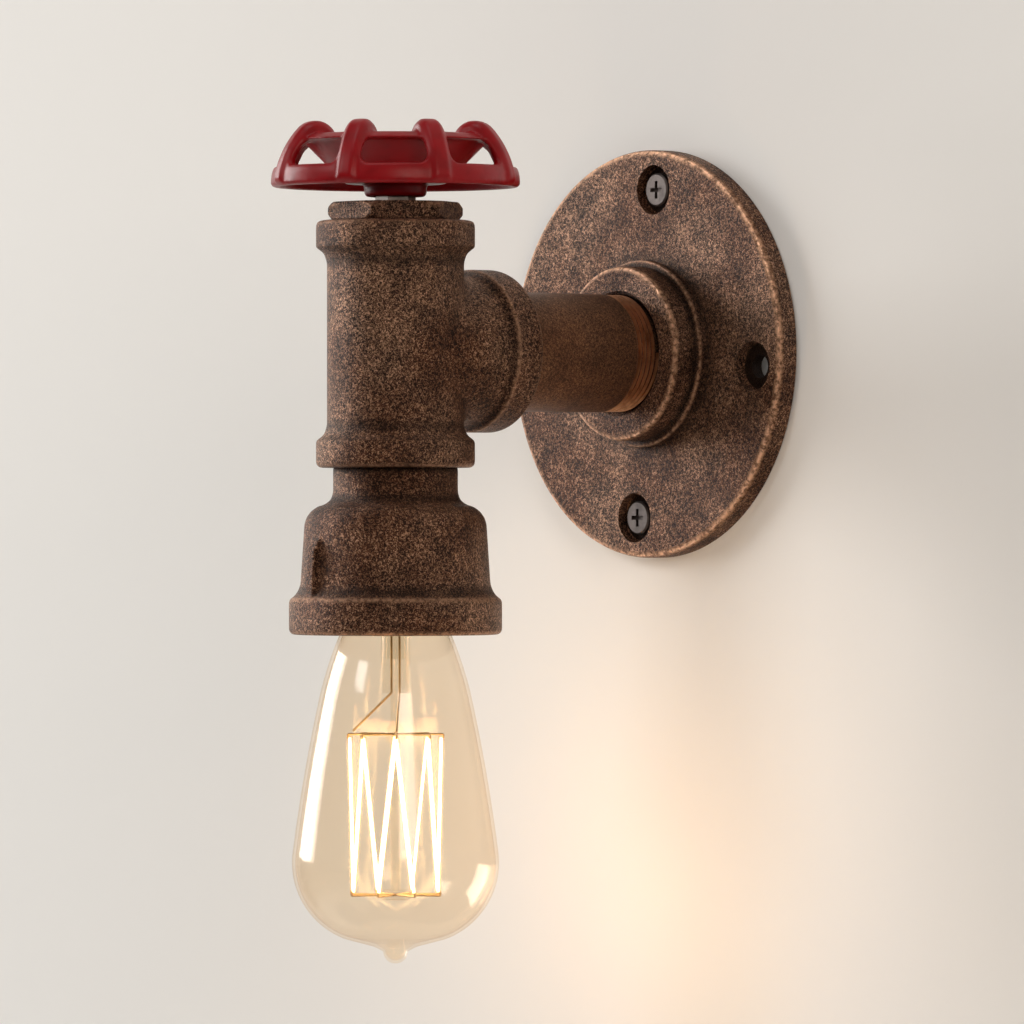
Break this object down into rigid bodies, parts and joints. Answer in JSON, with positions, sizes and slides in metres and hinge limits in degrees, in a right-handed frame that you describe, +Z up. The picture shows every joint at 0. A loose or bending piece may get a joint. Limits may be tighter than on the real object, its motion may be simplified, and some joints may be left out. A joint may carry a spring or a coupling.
{
  "type": "industrial pipe wall light",
  "caption": "Pipe-fitting wall light: round flange, short pipe arm, tee, valve handwheel that works a dimmer, and a bell-shaped cup over a screw-cap filament lamp.",
  "frame": {"origin": "centre of the flange's back face, on the wall", "axes": "+Y goes into the wall, square to the flange's back face, and the arm runs along -Y; +Z is up, along the lamp's upright axis"},
  "size_m": [0.1298, 0.1789, 0.2613],
  "materials": {
    "cast_bronze": "antique bronze over a sand-cast grain",
    "pipe_bronze": "antique bronze, brushed",
    "wheel_red": "glossy deep red enamel",
    "screw_steel": "dull steel",
    "zinc_steel": "zinc-plated steel",
    "brass": "plain brass",
    "porcelain": "glazed white porcelain",
    "dimmer_black": "moulded black",
    "board_brown": "resin board",
    "block_cream": "moulded cream",
    "lead_brown": "brown silicone insulation",
    "lead_black": "black silicone insulation",
    "lead_blue": "blue silicone insulation",
    "lead_green": "green and yellow insulation",
    "lamp_glass": "clear amber-tinted glass",
    "stem_glass": "clear glass",
    "hot_filament": "glowing tungsten",
    "support_wire": "molybdenum wire",
    "cap_glass": "black glass"
  },
  "bodies": {
    "fixture": {"wall_flange": "cast_bronze", "wall_screws": "screw_steel", "arm_nipple": "pipe_bronze", "tee": "cast_bronze", "hex_bushing": "cast_bronze", "reducer_cup": "cast_bronze", "dimmer_collar": "zinc_steel", "collar_washer": "zinc_steel", "collar_nut": "zinc_steel", "dimmer_housing": "dimmer_black", "dimmer_base": "dimmer_black", "dimmer_board": "board_brown", "dimmer_terminals": "brass", "lampholder_body": "porcelain", "lampholder_shell": "brass", "lampholder_cap": "zinc_steel", "centre_contact": "brass", "live_terminal": "brass", "neutral_terminal": "brass", "terminal_screws": "screw_steel", "mounting_tube": "zinc_steel", "holder_plate": "zinc_steel", "earth_ring": "brass", "lock_nut": "zinc_steel", "terminal_block": "block_cream", "pole_sleeves": "brass", "clamp_screws": "screw_steel", "live_lead": "lead_brown", "switched_lead": "lead_black", "neutral_lead": "lead_blue", "earth_lead": "lead_green"},
    "handwheel": {"handwheel": "wheel_red", "wheel_washer": "zinc_steel", "wheel_nut": "zinc_steel", "spindle": "zinc_steel", "dimmer_rotor": "dimmer_black"},
    "bulb": {"bulb_glass": "lamp_glass", "bulb_stem": "stem_glass", "filament": "hot_filament", "upper_support": "support_wire", "lower_support": "support_wire", "lead_in_wires": "support_wire", "bulb_cap": "brass", "cap_insulator": "cap_glass", "cap_contact": "zinc_steel"}
  },
  "joints": [
    {"name": "handwheel_turn", "type": "hinge", "parent": "fixture", "child": "handwheel", "pos_m": [0, -0.109, 0], "axis": [0, 0, 1], "range_deg": [0, 270]},
    {"name": "bulb_withdraw", "type": "slide", "parent": "fixture", "child": "bulb", "axis": [0, 0, -1], "range_m": [0, 0.06]}
  ]
}
